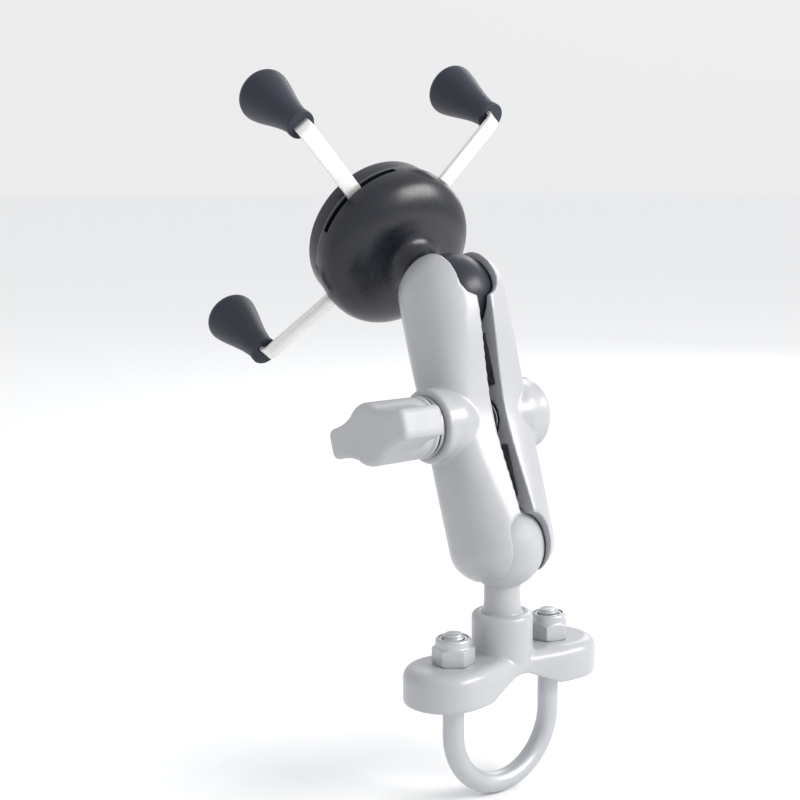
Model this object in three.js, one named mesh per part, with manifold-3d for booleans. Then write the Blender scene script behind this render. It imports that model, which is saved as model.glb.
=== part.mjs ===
// Handlebar phone mount: U-bolt base with a ball, double-socket clamping arm, spring-grip phone holder.
// Millimetres. Origin on the axis of a seated 31.75 mm handlebar, +X from leg to leg of the U-bolt,
// +Y along the handlebar, +Z up to the ball.
import * as THREE from "three";
import { mergeVertices } from "three/addons/utils/BufferGeometryUtils.js";
import Module from "manifold-3d";

const wasm = await Module();
wasm.setup();

const rad = THREE.MathUtils.degToRad;
const GAP = 0.3; // running clearance between neighbouring pieces

// ---- driving dimensions ----
const BALL_RADIUS = 12.7; // 1 inch ball
const CORE_RADIUS = 8.4; // metal core inside each rubber ball
const POST_RADIUS = 5.5;

const base = {
  lobeX: 22.5,
  lobeRadius: 12.5,
  waist: 9.4, // half width in Y between the lobes
  bottom: 10.9,
  top: 22,
  topRound: 3.6,
  bottomRound: 0.8,
  veeAngle: rad(24),
  veeDepth: 6.5,
  collarRadius: 9.25,
  collarTop: 34,
  collarRound: 1.6,
  ballZ: 54,
};

const bolt = { legX: 19.45, rod: 3.175, bendZ: 0.1, legTop: 31, chamfer: 0.6 };
const nut = { flats: 11.1, hexHeight: 5.2, ringHeight: 2.6, ringRadius: 5.3, seatRadius: 4.4 };

const arm = {
  tilt: rad(17.4),
  length: 76.7, // ball centre to ball centre
  halfGap: 2.5, // parting face to the arm's middle plane
  lowThick: 15.8, // parting plane to the outer face at the base ball
  midThick: 16.5,
  highThick: 16.3, // and at the holder ball
  endWide: 14.4,
  lowReach: 11.6, // base ball centre to the arm's lower end
  highReach: 14.4, // holder ball centre to its upper end
  midWide: 10.6,
  slotHalf: 7.5,
  lowSlotReach: 8,
  highSlotReach: 3.2,
  slotRound: 6,
  wall: 2.4,
  bossRadius: 11.2,
  nearBoss: 20,
  farBoss: 20.5,
};
const MID = arm.length / 2;

const clamp = { shank: 3.1, headFlats: 11.1, headHeight: 4.4 };
const knob = {
  face: 21.9, // arm's middle plane to the knob's inner face
  end: 42.4, // and to its outer face
  stem: 9.2,
  wingReach: 17.7,
  wingHalf: 4.5,
  bulge: 4, // extra half thickness at the hub
  wingDepth: 15,
};

const hub = {
  yaw: rad(-3.5),
  pitch: rad(-65.9),
  roll: rad(180 - 3.5),
  plane: 36.2, // ball centre to the plane between the two grip bars
  radius: 26,
  rimRadius: 25.3,
  frontRadius: 24.5,
  rimZ: 38,
  frontZ: 44.4,
  screwRing: 19.5,
  pinRadius: 3,
  studRadius: 4,
  neckRadius: 6.2,
};

const grip = {
  halfAngle: rad(42.4), // bar to the holder's upright axis
  reach: 53,
  width: 5.3,
  thick: 1.5,
  footZ: 40, // plane of the bar ends, further forward than the hub's plane
  kneeR: 27.5, // where a bar leaves the hub and starts to slope forward
  legTop: 56.5,
  bend: 1.9,
  tipStart: 42.2,
  tipLength: 25.2,
};

// ---- solid helpers ----
function toManifold(geometry) {
  const bare = geometry.clone();
  bare.deleteAttribute("normal");
  bare.deleteAttribute("uv");
  const merged = mergeVertices(bare, 1e-4);
  const solid = new wasm.Manifold(new wasm.Mesh({
    numProp: 3,
    vertProperties: new Float32Array(merged.attributes.position.array),
    triVerts: new Uint32Array(merged.index.array),
  }));
  return solid;
}

function toGeometry(solid) {
  const mesh = solid.getMesh();
  const geometry = new THREE.BufferGeometry();
  const points = new Float32Array(mesh.numVert * 3);
  for (let i = 0; i < mesh.numVert; i++) {
    for (let k = 0; k < 3; k++) points[3 * i + k] = mesh.vertProperties[i * mesh.numProp + k];
  }
  geometry.setAttribute("position", new THREE.BufferAttribute(points, 3));
  geometry.setIndex(new THREE.BufferAttribute(new Uint32Array(mesh.triVerts), 1));
  const flat = geometry.toNonIndexed();
  flat.computeVertexNormals();
  return flat;
}

function cut(body, ...tools) {
  return toGeometry(tools.reduce((solid, tool) => solid.subtract(toManifold(tool)), toManifold(body)));
}

function join(body, ...others) {
  return toGeometry(others.reduce((solid, other) => solid.add(toManifold(other)), toManifold(body)));
}

function keep(body, region) {
  return toGeometry(toManifold(body).intersect(toManifold(region)));
}

function box(x0, x1, y0, y1, z0, z1) {
  const geometry = new THREE.BoxGeometry(x1 - x0, y1 - y0, z1 - z0);
  return geometry.translate((x0 + x1) / 2, (y0 + y1) / 2, (z0 + z1) / 2);
}

// Closed skin through a stack of equal-count rings, with flat triangulated ends.
function loft(rings) {
  const count = rings[0].length;
  const points = rings.flat().flatMap((p) => [p.x, p.y, p.z]);
  const index = [];
  for (let r = 0; r + 1 < rings.length; r++) {
    for (let i = 0; i < count; i++) {
      const a = r * count + i;
      const b = r * count + (i + 1) % count;
      index.push(a, b, b + count, a, b + count, a + count);
    }
  }
  const flatRing = rings[0].map((p) => new THREE.Vector2(p.x, p.y));
  const last = (rings.length - 1) * count;
  const leftHanded = THREE.ShapeUtils.area(flatRing) < 0;
  for (const face of THREE.ShapeUtils.triangulateShape(flatRing, [])) {
    const [a, b, c] = leftHanded ? [face[0], face[2], face[1]] : face;
    index.push(a, c, b, last + a, last + b, last + c);
  }
  const geometry = new THREE.BufferGeometry();
  geometry.setAttribute("position", new THREE.Float32BufferAttribute(points, 3));
  geometry.setIndex(index);
  return geometry;
}

// Turned body about Z from [radius, z] pairs that start and end on the axis or close on themselves.
function turned(profile, segments = 28) {
  const points = profile.map(([r, z]) => new THREE.Vector2(r, z));
  const area = points.reduce((sum, p, i) => {
    const q = points[(i + 1) % points.length];
    return sum + p.x * q.y - q.x * p.y;
  }, 0);
  if (area < 0) points.reverse();
  return new THREE.LatheGeometry(points, segments).rotateX(Math.PI / 2);
}

function rod(radius, z0, z1, segments = 20) {
  return turned([[0, z0], [radius, z0], [radius, z1], [0, z1]], segments);
}

function ring(inner, outer, z0, z1, segments = 24) {
  return turned([[inner, z0], [outer, z0], [outer, z1], [inner, z1], [inner, z0]], segments);
}

function arcPoints(centreR, centreZ, radius, from, to, steps) {
  return Array.from({ length: steps + 1 }, (_, i) => {
    const angle = rad(from + (to - from) * i / steps);
    const r = centreR + radius * Math.cos(angle);
    return [Math.abs(r) < 1e-9 ? 0 : r, centreZ + radius * Math.sin(angle)];
  });
}

function ball(radius, segments = 28, rows = 14) {
  return turned(arcPoints(0, 0, radius, -90, 90, rows), segments);
}

function hexPrism(flats, z0, z1) {
  const geometry = new THREE.CylinderGeometry(flats / Math.sqrt(3), flats / Math.sqrt(3), z1 - z0, 6);
  return geometry.rotateX(Math.PI / 2).translate(0, 0, (z0 + z1) / 2);
}

// Sector of a flat ring about Z, angles measured from +Y towards +X.
function sector(inner, outer, from, to, z0, z1, steps = 6) {
  const angles = Array.from({ length: steps + 1 }, (_, i) => from + (to - from) * i / steps);
  const outline = [
    ...angles.map((a) => [outer * Math.sin(a), outer * Math.cos(a)]),
    ...angles.reverse().map((a) => [inner * Math.sin(a), inner * Math.cos(a)]),
  ];
  const ringAt = (z) => outline.map(([x, y]) => new THREE.Vector3(x, y, z)).reverse();
  return loft([ringAt(z0), ringAt(z1)]);
}

// Wire along a curve, closed at both ends.
function wire(curve, radius, steps) {
  const section = new THREE.Shape();
  section.absarc(0, 0, radius, 0, Math.PI * 2);
  return new THREE.ExtrudeGeometry(section, {
    steps, extrudePath: curve, curveSegments: 3, bevelEnabled: false,
  });
}

class Coil extends THREE.Curve {
  constructor(radius, z0, z1, turns, leg = 0) {
    super();
    Object.assign(this, { radius, z0, z1, turns, leg });
  }

  getPoint(t, target = new THREE.Vector3()) {
    const length = this.turns * Math.PI * 2 * this.radius;
    const along = t * (length + 2 * this.leg) - this.leg;
    const share = THREE.MathUtils.clamp(along / length, 0, 1);
    const angle = share * this.turns * Math.PI * 2;
    const past = along < 0 ? along : Math.max(0, along - length);
    const z = this.z0 + (this.z1 - this.z0) * share;
    const x = this.radius * Math.cos(angle) - past * Math.sin(angle);
    const y = this.radius * Math.sin(angle) + past * Math.cos(angle);
    return target.set(x, y, z);
  }
}

// ---- base ----
function plateOutline() {
  const count = 48;
  const points = [];
  for (let i = 0; i < count; i++) {
    const angle = (i / count) * Math.PI * 2;
    const x = (base.lobeX + base.lobeRadius) * Math.cos(angle);
    const inner = Math.min(1, Math.abs(x) / base.lobeX);
    const side = base.waist + (base.lobeRadius - base.waist) * (0.5 - 0.5 * Math.cos(inner * Math.PI));
    const past = Math.max(0, Math.abs(x) - base.lobeX) / base.lobeRadius;
    const y = Math.sign(Math.sin(angle)) * side * Math.sqrt(Math.max(0, 1 - past * past));
    points.push(new THREE.Vector2(x, y));
  }
  return points;
}

function insetRing(outline, inset, z) {
  const count = outline.length;
  return outline.map((p, i) => {
    const before = outline[(i + count - 1) % count];
    const after = outline[(i + 1) % count];
    const normal = new THREE.Vector2(after.y - before.y, before.x - after.x).normalize();
    return new THREE.Vector3(p.x - normal.x * inset, p.y - normal.y * inset, z);
  });
}

function edgeRings(outline, radius, z, side, steps) {
  return Array.from({ length: steps + 1 }, (_, i) => {
    const angle = (i / steps) * Math.PI / 2;
    const inset = radius * (1 - Math.cos(angle));
    return insetRing(outline, inset, z - side * radius * (1 - Math.sin(angle)));
  });
}

// Notch across the underside that seats the handlebar, with its bottom rounded by three facets.
function veeTool() {
  const { bottom, veeDepth, veeAngle } = base;
  const slope = Math.tan(veeAngle);
  const apex = bottom + veeDepth;
  const under = 1; // how far the tool starts below the plate
  const wide = (veeDepth + under) / slope;
  const roundHalf = 3;
  const section = [
    [-wide, bottom - under],
    [wide, bottom - under],
    [roundHalf, apex - roundHalf * slope],
    [roundHalf / 2, apex - roundHalf * slope * 0.62],
    [-roundHalf / 2, apex - roundHalf * slope * 0.62],
    [-roundHalf, apex - roundHalf * slope],
  ];
  const reach = 2 * base.lobeRadius;
  const [front, back] = [-reach, reach].map((y) => section.map(([x, z]) => new THREE.Vector3(x, z, y)));
  return loft([front, back]).rotateX(Math.PI / 2);
}

// Collar with a fillet at its foot, the ball's post, and the core inside the rubber ball.
function basePost() {
  const { top, waist, collarRadius, collarTop, collarRound, ballZ } = base;
  const root = top - 2.5;
  const fillet = 2.2;
  const step = POST_RADIUS + 1.3;
  const foot = arcPoints(collarRadius + fillet, top + fillet, fillet, 270, 180, 3);
  const neckAngle = THREE.MathUtils.radToDeg(Math.acos(POST_RADIUS / CORE_RADIUS));
  return turned([
    [0, root],
    [collarRadius + 0.1, root],
    [collarRadius + 0.1, top],
    ...foot.map(([r, z]) => [Math.min(r, waist), z]),
    ...arcPoints(collarRadius - collarRound, collarTop - collarRound, collarRound, 0, 90, 3),
    [step, collarTop],
    [step, collarTop + 0.6],
    [POST_RADIUS + 0.4, collarTop + 1.5],
    [POST_RADIUS, collarTop + 4],
    ...arcPoints(0, ballZ, CORE_RADIUS, -neckAngle, 90, 6),
  ]);
}

function basePlate() {
  const outline = plateOutline();
  const lower = edgeRings(outline, base.bottomRound, base.bottom, -1, 2).reverse();
  const upper = edgeRings(outline, base.topRound, base.top, 1, 5);
  const legHoles = [-1, 1].map((side) =>
    rod(bolt.rod + 0.35, 0, 40, 28).translate(side * bolt.legX, 0, 0));
  return cut(join(loft([...lower, ...upper]), basePost()), veeTool(), ...legHoles);
}

// Rubber shell round a metal core, open round the shank that leaves it downwards.
function rubberShell(throat) {
  const start = (radius) => -THREE.MathUtils.radToDeg(Math.acos(throat / radius));
  const socket = CORE_RADIUS + GAP;
  const outer = arcPoints(0, 0, BALL_RADIUS, start(BALL_RADIUS), 90, 12);
  const inner = arcPoints(0, 0, socket, 90, start(socket), 6);
  return turned([...outer, ...inner, outer[0]]);
}

function baseBall() {
  return rubberShell(POST_RADIUS + GAP);
}

function uBolt() {
  const { legX, rod: radius, bendZ, legTop, chamfer } = bolt;
  const sides = 16;
  const steps = 20;
  const rings = [];
  const put = (x, z, dirX, dirZ, r = radius) => {
    rings.push(Array.from({ length: sides }, (_, i) => {
      const angle = (i / sides) * Math.PI * 2;
      const out = r * Math.cos(angle);
      return new THREE.Vector3(x + out * dirZ, r * Math.sin(angle), z - out * dirX);
    }));
  };
  put(-legX, legTop, 0, -1, radius - chamfer);
  put(-legX, legTop - chamfer, 0, -1);
  for (let i = 0; i <= steps; i++) {
    const angle = (i / steps) * Math.PI;
    const x = -legX * Math.cos(angle);
    put(x, bendZ - legX * Math.sin(angle), Math.sin(angle), -Math.cos(angle));
  }
  put(legX, legTop - chamfer, 0, 1);
  put(legX, legTop, 0, 1, radius - chamfer);
  return loft(rings);
}

function lockNut() {
  const hexTop = nut.hexHeight;
  const hex = hexPrism(nut.flats, 0, hexTop);
  const chamfer = turned([
    [0, -0.1], [nut.flats / 2 + 0.55, -0.1], [nut.flats / 2 + 0.9, 0.5],
    [nut.flats / 2 + 0.9, hexTop - 0.6],
    [nut.flats / 2 + 0.2, hexTop], [0, hexTop],
  ]);
  const collar = turned([
    [0, hexTop - 0.5], [nut.ringRadius, hexTop - 0.5],
    ...arcPoints(nut.ringRadius - 1.2, hexTop + nut.ringHeight - 1.2, 1.2, 0, 90, 4),
    [0, hexTop + nut.ringHeight],
  ]);
  const bore = rod(bolt.rod + GAP, -1, 20, 24);
  const seat = rod(nut.seatRadius, hexTop + 0.5, hexTop + nut.ringHeight - 0.7, 28);
  return cut(join(keep(hex, chamfer), collar), bore, seat);
}

function nutInsert() {
  const z = nut.hexHeight;
  return ring(bolt.rod + GAP, nut.seatRadius - GAP, z + 0.8, z + nut.ringHeight - 1, 28);
}

// ---- arm, in its own frame: ball centres at z = 0 and z = arm.length, parting plane x = 0 ----
function armSection(z) {
  const high = z > MID;
  const reach = high ? arm.highReach : arm.lowReach;
  const endThick = high ? arm.highThick : arm.lowThick;
  const inward = THREE.MathUtils.clamp(Math.min(z, arm.length - z) / MID, 0, 1);
  const ease = inward * inward * (3 - 2 * inward);
  const wide = arm.endWide + (arm.midWide - arm.endWide) * ease;
  const thick = endThick + (arm.midThick - endThick) * ease;
  const past = Math.max(0, -z, z - arm.length) / reach;
  const shrink = Math.sqrt(1 - past * past);
  return { wide: wide * shrink, thick: thick * shrink, power: 2.3 + 0.9 * ease };
}

function armSkin(sides = 32) {
  const endSteps = 4;
  const cap = Array.from({ length: endSteps }, (_, i) =>
    Math.sin(((i + 1) / (endSteps + 0.5)) * Math.PI / 2));
  const heights = [
    ...cap.map((share) => -arm.lowReach * share).reverse(),
    ...Array.from({ length: 11 }, (_, i) => arm.length * i / 10),
    ...cap.map((share) => arm.length + arm.highReach * share),
  ];
  return loft(heights.map((z) => {
    const { wide, thick, power } = armSection(z);
    return Array.from({ length: sides }, (_, i) => {
      const angle = (i / sides) * Math.PI * 2;
      const c = Math.cos(angle);
      const s = Math.sin(angle);
      const x = thick * Math.sign(c) * Math.abs(c) ** (2 / power);
      const y = wide * Math.sign(s) * Math.abs(s) ** (2 / power);
      return new THREE.Vector3(x, y, z);
    });
  }));
}

// Boss around the clamp bolt, along +X.
function armBoss(end) {
  const r = arm.bossRadius;
  return turned([
    [0, 3], [9.4, 3], [10, 7], [11, 10.5], [r + 0.7, 13], [r + 0.5, 15], [r, 16.8],
    [r, end - 0.8], [r - 0.8, end], [0, end],
  ]).rotateY(Math.PI / 2).translate(0, 0, MID);
}

function alongX(geometry, z = MID) {
  return geometry.rotateY(Math.PI / 2).translate(0, 0, z);
}

// One clamping half on the +X side; end is how far its boss stands out.
// Round inner end of a slot, along Y.
function slotEnd() {
  return rod(arm.slotRound, -20, 20, 40).rotateX(Math.PI / 2);
}

function armHalf(end) {
  const far = 60;
  const region = box(arm.halfGap, far, -far, far, -far, arm.length + far);
  const body = keep(join(armSkin(), armBoss(end)), region);
  const sockets = [0, arm.length].map((z) => ball(BALL_RADIUS + GAP).translate(0, 0, z));
  const low = arm.lowSlotReach - arm.slotRound;
  const high = arm.length - arm.highSlotReach + arm.slotRound;
  const slots = [
    box(0, arm.slotHalf, -far, far, -far, low),
    box(0, arm.slotHalf, -far, far, high, arm.length + far),
    ...[low, high].map((z) => slotEnd().translate(arm.slotHalf - arm.slotRound, 0, z)),
  ];
  const inner = 9;
  const pockets = [[13.5, MID - inner], [MID + inner, arm.length - 13.5]].map(([z0, z1]) =>
    box(0, arm.midThick - arm.wall - 1.2, -arm.midWide + arm.wall, arm.midWide - arm.wall, z0, z1));
  const springSeat = alongX(rod(7, 0, 6.2));
  const boltHole = alongX(rod(clamp.shank + GAP + 0.1, 0, far));
  return cut(body, ...sockets, ...slots, ...pockets, springSeat, boltHole);
}

function armHalfFar() {
  const hexSeat = alongX(hexPrism(clamp.headFlats + 0.6, arm.farBoss - clamp.headHeight - 0.3, 40));
  return cut(armHalf(arm.farBoss), hexSeat);
}

function armHalfNear() {
  return toGeometry(toManifold(armHalf(arm.nearBoss)).mirror([1, 0, 0]));
}

function clampBolt() {
  const headTop = arm.farBoss - 0.4;
  const headBase = headTop - clamp.headHeight + 0.4;
  const head = keep(hexPrism(clamp.headFlats, headBase, headTop),
    turned([[0, headBase], [6.6, headBase], [6.6, headTop - 0.7], [5.2, headTop], [0, headTop]]));
  const shank = turned([
    [0, -38], [clamp.shank - 0.6, -38], [clamp.shank, -37.4],
    [clamp.shank, headBase + 0.5], [0, headBase + 0.5],
  ], 28);
  return alongX(join(head, shank));
}

function armSpring() {
  return alongX(wire(new Coil(5.2, -5.1, 5.1, 4.5), 0.65, 54));
}

// Half thickness of the knob at y: two flat wings that swell round the bolt.
function knobHalf(y) {
  return knob.wingHalf + knob.bulge * Math.exp(-((y / (knob.stem - 1.6)) ** 2));
}

function knobOutline() {
  const corner = 2.2;
  const straight = knob.wingReach - corner;
  const sideSteps = 12;
  const cornerSteps = 3;
  const side = Array.from({ length: sideSteps + 1 }, (_, i) => {
    const y = straight * (2 * i / sideSteps - 1);
    return new THREE.Vector2(knobHalf(y), y);
  });
  const turn = Array.from({ length: cornerSteps }, (_, i) => {
    const angle = ((i + 1) / cornerSteps) * Math.PI / 2;
    const x = knobHalf(straight) - corner + corner * Math.cos(angle);
    return new THREE.Vector2(x, straight + corner * Math.sin(angle));
  });
  const half = [...side, ...turn, ...turn.map((p) => new THREE.Vector2(-p.x, p.y)).reverse()];
  return [...half, ...half.map((p) => new THREE.Vector2(-p.x, -p.y))];
}

function knobBody() {
  const { face, end, stem: r, wingDepth } = knob;
  const stem = turned([
    [0, -face], [r - 0.6, -face], [r, -face - 0.8], [r, -end + 2],
    ...arcPoints(r - 2, -end + 2, 2, 0, -90, 3), [0, -end],
  ]);
  const outline = knobOutline();
  const wings = loft([
    ...edgeRings(outline, 1.6, -end, -1, 3).reverse(),
    ...edgeRings(outline, 1.6, -end + wingDepth, 1, 3),
  ]);
  const bore = rod(clamp.shank + GAP, -40, 0);
  const pocket = hexPrism(11.8, -36.3, 0);
  return alongX(cut(join(stem, wings), bore, pocket));
}

function knobInsert() {
  return alongX(cut(hexPrism(11.2, -36, -23), rod(clamp.shank + GAP, -60, 0, 28)));
}

function knobWasher() {
  return alongX(ring(clamp.shank + GAP, knob.stem, -knob.face + GAP, -arm.nearBoss - GAP));
}

// ---- holder, in its own frame: ball centre at the origin, phone side towards +Z, upright axis +Y ----
function ballStud() {
  const neckAngle = THREE.MathUtils.radToDeg(Math.acos(hub.studRadius / CORE_RADIUS));
  return turned([
    ...arcPoints(0, 0, CORE_RADIUS, -90, neckAngle, 8),
    [hub.studRadius, 12], [hub.studRadius, 30.9], [hub.studRadius - 0.6, 31.5], [0, 31.5],
  ], 24);
}

function holderBall() {
  return rubberShell(hub.neckRadius).rotateX(Math.PI);
}

function studNut() {
  return cut(hexPrism(13, 25.6, 30.3), rod(hub.studRadius + GAP, 0, 40, 28));
}

const domeOuter = [
  [hub.neckRadius, 11.7], [hub.neckRadius, 15.5], [6.5, 17.6], [7.4, 19.6], [9.2, 21.1],
  [12.5, 22], [16, 22.8], [19.4, 24.1],
  [22.4, 26], [24.6, 28.2], [25.7, 30.6], [hub.radius, 33],
];

function hubWindows() {
  const [near, far] = [rad(8), rad(76)];
  const bar = grip.thick + 1.5 * GAP;
  const windows = [];
  for (const half of [0, Math.PI]) {
    windows.push(sector(21, 30, half + near, half + far, hub.plane - bar, hub.plane + GAP / 2));
    windows.push(sector(21, 30, half - far, half - near, hub.plane - GAP / 2, hub.rimZ + 1));
  }
  return windows;
}

function screwSpots() {
  return [0, 1, 2, 3].map((i) => {
    const angle = (i * Math.PI) / 2;
    return new THREE.Vector2(hub.screwRing * Math.sin(angle), hub.screwRing * Math.cos(angle));
  });
}

function hubBackCover() {
  const shell = turned([
    ...domeOuter,
    [hub.rimRadius + 0.2, hub.rimZ - 0.5],
    [hub.rimRadius, hub.rimZ],
    [22.9, hub.rimZ],
    [23.4, 33],
    [22.8, 30.8],
    [21.4, 28.8],
    [19.2, 27.2],
    [15.6, 25.9],
    [11, 25.3],
    [hub.studRadius + GAP, 25.3],
    [hub.studRadius + GAP, 11.7],
    [hub.neckRadius, 11.7],
  ], 36);
  const posts = screwSpots().map((p) => rod(3.4, 24.9, hub.rimZ - 0.1).translate(p.x, p.y, 0));
  const inside = turned([[0, 24], [12, 24], [20.5, 26.6], [24, 29.6], [24.4, 33], [24, 42], [0, 42]], 36);
  const columns = posts.map((post) => keep(post, inside));
  const holes = screwSpots().map((p) => rod(1.5 + GAP, 31, 50, 16).translate(p.x, p.y, 0));
  return cut(join(shell, ...columns), ...hubWindows(), ...holes);
}

function hubFrontCover() {
  const low = hub.rimZ + GAP;
  const disc = turned([
    [0, low], [hub.frontRadius + 0.3, low], [hub.frontRadius, hub.frontZ - 1.2],
    [hub.frontRadius - 0.4, hub.frontZ - 0.4], [hub.frontRadius - 1.2, hub.frontZ], [0, hub.frontZ],
  ], 36);
  const springRoom = rod(15.6, low - 1, low + 2.9, 28);
  const pinHole = turned([
    [0, 36], [hub.pinRadius + GAP, 36], [hub.pinRadius + GAP, 42.6], [5.8, 42.6], [5.8, 50], [0, 50],
  ], 20);
  const screwHoles = screwSpots().map((p) => turned([
    [0, 36], [1.5 + GAP, 36], [1.5 + GAP, 42.6], [3.1, 42.6], [3.1, 50], [0, 50],
  ], 14).translate(p.x, p.y, 0));
  return cut(disc, springRoom, pinHole, ...screwHoles);
}

function coverScrew() {
  const top = hub.frontZ - 0.3;
  const body = turned([
    [0, 31.6], [1, 31.6], [1.5, 32.4], [1.5, 42.9], [2.8, 42.9], [2.8, top - 0.4], [2.4, top], [0, top],
  ], 14);
  const cross = [0, Math.PI / 2].map((turn) =>
    box(-1.7, 1.7, -0.35, 0.35, top - 0.6, top + 1).rotateZ(turn));
  return cut(body, ...cross);
}

function pivotPin() {
  const r = hub.pinRadius;
  return turned([
    [0, 32.2], [4.2, 32.2], [4.6, 32.6], [4.6, 34.1], [r, 34.1], [r, 42.9], [5.5, 42.9],
    [5.5, 43.8], [5, 44.2], [0, 44.2],
  ], 20);
}

function gripSpring() {
  return wire(new Coil(5, 39, 40.4, 1.5, 9), 0.5, 40);
}

// Outline of a strip of even thickness along a centre line of 2-D points.
function stripOutline(points, thick) {
  const side = (sign) => points.map((p, i) => {
    const before = points[Math.max(0, i - 1)];
    const after = points[Math.min(points.length - 1, i + 1)];
    const inDir = p.clone().sub(before).normalize();
    const outDir = after.clone().sub(p).normalize();
    const along = (i === 0 ? outDir : i === points.length - 1 ? inDir : inDir.add(outDir)).normalize();
    const lean = i === 0 || i === points.length - 1 ? 1 : Math.abs(along.dot(outDir));
    const offset = sign * thick / 2 / lean;
    return new THREE.Vector2(p.x - along.y * offset, p.y + along.x * offset);
  });
  return [...side(1), ...side(-1).reverse()];
}

// Flat bar across the hub, sloping forward outside it, with both ends bent forward;
// level is the height of its middle plane inside the hub.
function gripBar(level) {
  const { reach, width, thick, footZ, kneeR, legTop, bend } = grip;
  const end = reach - thick / 2;
  const corner = Array.from({ length: 4 }, (_, i) => {
    const angle = (i / 3) * Math.PI / 2;
    return new THREE.Vector2(end - bend + bend * Math.sin(angle), footZ + bend - bend * Math.cos(angle));
  });
  const right = [new THREE.Vector2(kneeR, level), ...corner, new THREE.Vector2(end, legTop)];
  const left = right.map((p) => new THREE.Vector2(-p.x, p.y)).reverse();
  const shape = new THREE.Shape(stripOutline([...left, ...right], thick));
  const strip = new THREE.ExtrudeGeometry(shape, { depth: width, bevelEnabled: false });
  strip.translate(0, 0, -width / 2).rotateX(Math.PI / 2);
  const eye = rod(6, level - thick / 2, level + thick / 2, 28);
  const hole = rod(hub.pinRadius + GAP, 0, 60);
  return cut(join(strip, eye), hole);
}

// Rubber finger over a bar end: round collar, waist, trumpet mouth with a rounded face.
function gripTip() {
  const l = grip.tipLength;
  const body = turned([
    [0, 0], [4.1, 0], [4.5, 0.5], [4.5, 1.6], [4.2, 2.1], [4.45, 4.5], [5, 8], [5.8, 11.5], [6.7, 15],
    [7.5, 18], [8.1, 20.6], [8.4, 22.3], [8.3, 23.5], [7.5, 24.4], [5, l - 0.2], [0, l],
  ], 20);
  const x = grip.thick / 2 + GAP;
  const y = grip.width / 2 + GAP;
  const slot = box(-x, x, -y, y, -1, grip.legTop - grip.tipStart + GAP);
  return cut(body, slot);
}

// ---- materials ----
function finish(color, roughness, metalness) {
  return () => new THREE.MeshStandardMaterial({ color, roughness, metalness });
}
const castGrey = finish(0xbfc3ca, 0.5, 0.3);
const boltSteel = finish(0xa9adb3, 0.35, 0.8);
const nylonWhite = finish(0xe2e4e6, 0.6, 0);
const knobGrey = finish(0xc2c5cb, 0.55, 0);
const greyRubber = finish(0xb4b8c0, 0.8, 0);
const blackPlastic = finish(0x24262b, 0.35, 0);
const blackRubber = finish(0x2b2e36, 0.7, 0);
const brightSteel = finish(0xe2e4e8, 0.2, 1);
const springSteel = finish(0x8d9096, 0.3, 1);

function piece(parent, name, geometry, material) {
  const mesh = new THREE.Mesh(geometry, material());
  mesh.name = name;
  parent.add(mesh);
  return mesh;
}

function group(parent, name, x = 0, y = 0, z = 0) {
  const node = new THREE.Group();
  node.name = name;
  node.position.set(x, y, z);
  parent.add(node);
  return node;
}

// ---- assembly ----
const mount = new THREE.Group();
mount.name = "handlebar_phone_mount";

function addBase(parent) {
  piece(parent, "base_plate", basePlate(), castGrey);
  piece(parent, "base_ball", baseBall(), greyRubber).position.z = base.ballZ;
  piece(parent, "u_bolt", uBolt(), boltSteel);
  for (const [side, label] of [[-1, "left"], [1, "right"]]) {
    const spot = group(parent, `nut_spot_${label}`, side * bolt.legX, 0, base.top + 0.05);
    spot.rotation.z = rad(side * 12);
    piece(spot, `lock_nut_${label}`, lockNut(), boltSteel);
    piece(spot, `nut_insert_${label}`, nutInsert(), nylonWhite);
  }
}

function addArm(parent) {
  piece(parent, "arm_half_near", armHalfNear(), castGrey);
  piece(parent, "arm_half_far", armHalfFar(), castGrey);
  piece(parent, "clamp_bolt", clampBolt(), boltSteel);
  piece(parent, "arm_spring", armSpring(), springSteel);
  piece(parent, "knob_washer", knobWasher(), springSteel);
  piece(parent, "knob_body", knobBody(), knobGrey);
  piece(parent, "knob_insert", knobInsert(), boltSteel);
}

function addGripBar(parent, name, side, level, tips) {
  const turn = group(parent, `${name}_turn`);
  turn.rotation.z = Math.PI / 2 - side * grip.halfAngle;
  piece(turn, name, gripBar(level), brightSteel);
  for (const [end, tipName] of [[1, tips[0]], [-1, tips[1]]]) {
    const tip = piece(turn, tipName, gripTip(), blackRubber);
    tip.position.set(end * (grip.reach - grip.thick / 2), 0, grip.tipStart);
  }
}

function addHolder(parent) {
  piece(parent, "ball_stud", ballStud(), boltSteel);
  piece(parent, "holder_ball", holderBall(), blackRubber);
  piece(parent, "stud_nut", studNut(), boltSteel);
  piece(parent, "hub_back_cover", hubBackCover(), blackPlastic);
  piece(parent, "hub_front_cover", hubFrontCover(), blackPlastic);
  screwSpots().forEach((p, i) => {
    piece(parent, `cover_screw_${i + 1}`, coverScrew(), springSteel).position.set(p.x, p.y, 0);
  });
  piece(parent, "pivot_pin", pivotPin(), springSteel);
  piece(parent, "grip_spring", gripSpring(), springSteel);
  const offset = grip.thick / 2 + GAP / 2;
  addGripBar(parent, "grip_bar_a", 1, hub.plane - offset, ["tip_upper_near", "tip_lower_far"]);
  addGripBar(parent, "grip_bar_b", -1, hub.plane + offset, ["tip_upper_far", "tip_lower_near"]);
}

addBase(mount);
const armFrame = group(mount, "arm_frame", 0, 0, base.ballZ);
armFrame.rotation.x = -arm.tilt;
addArm(armFrame);

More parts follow.
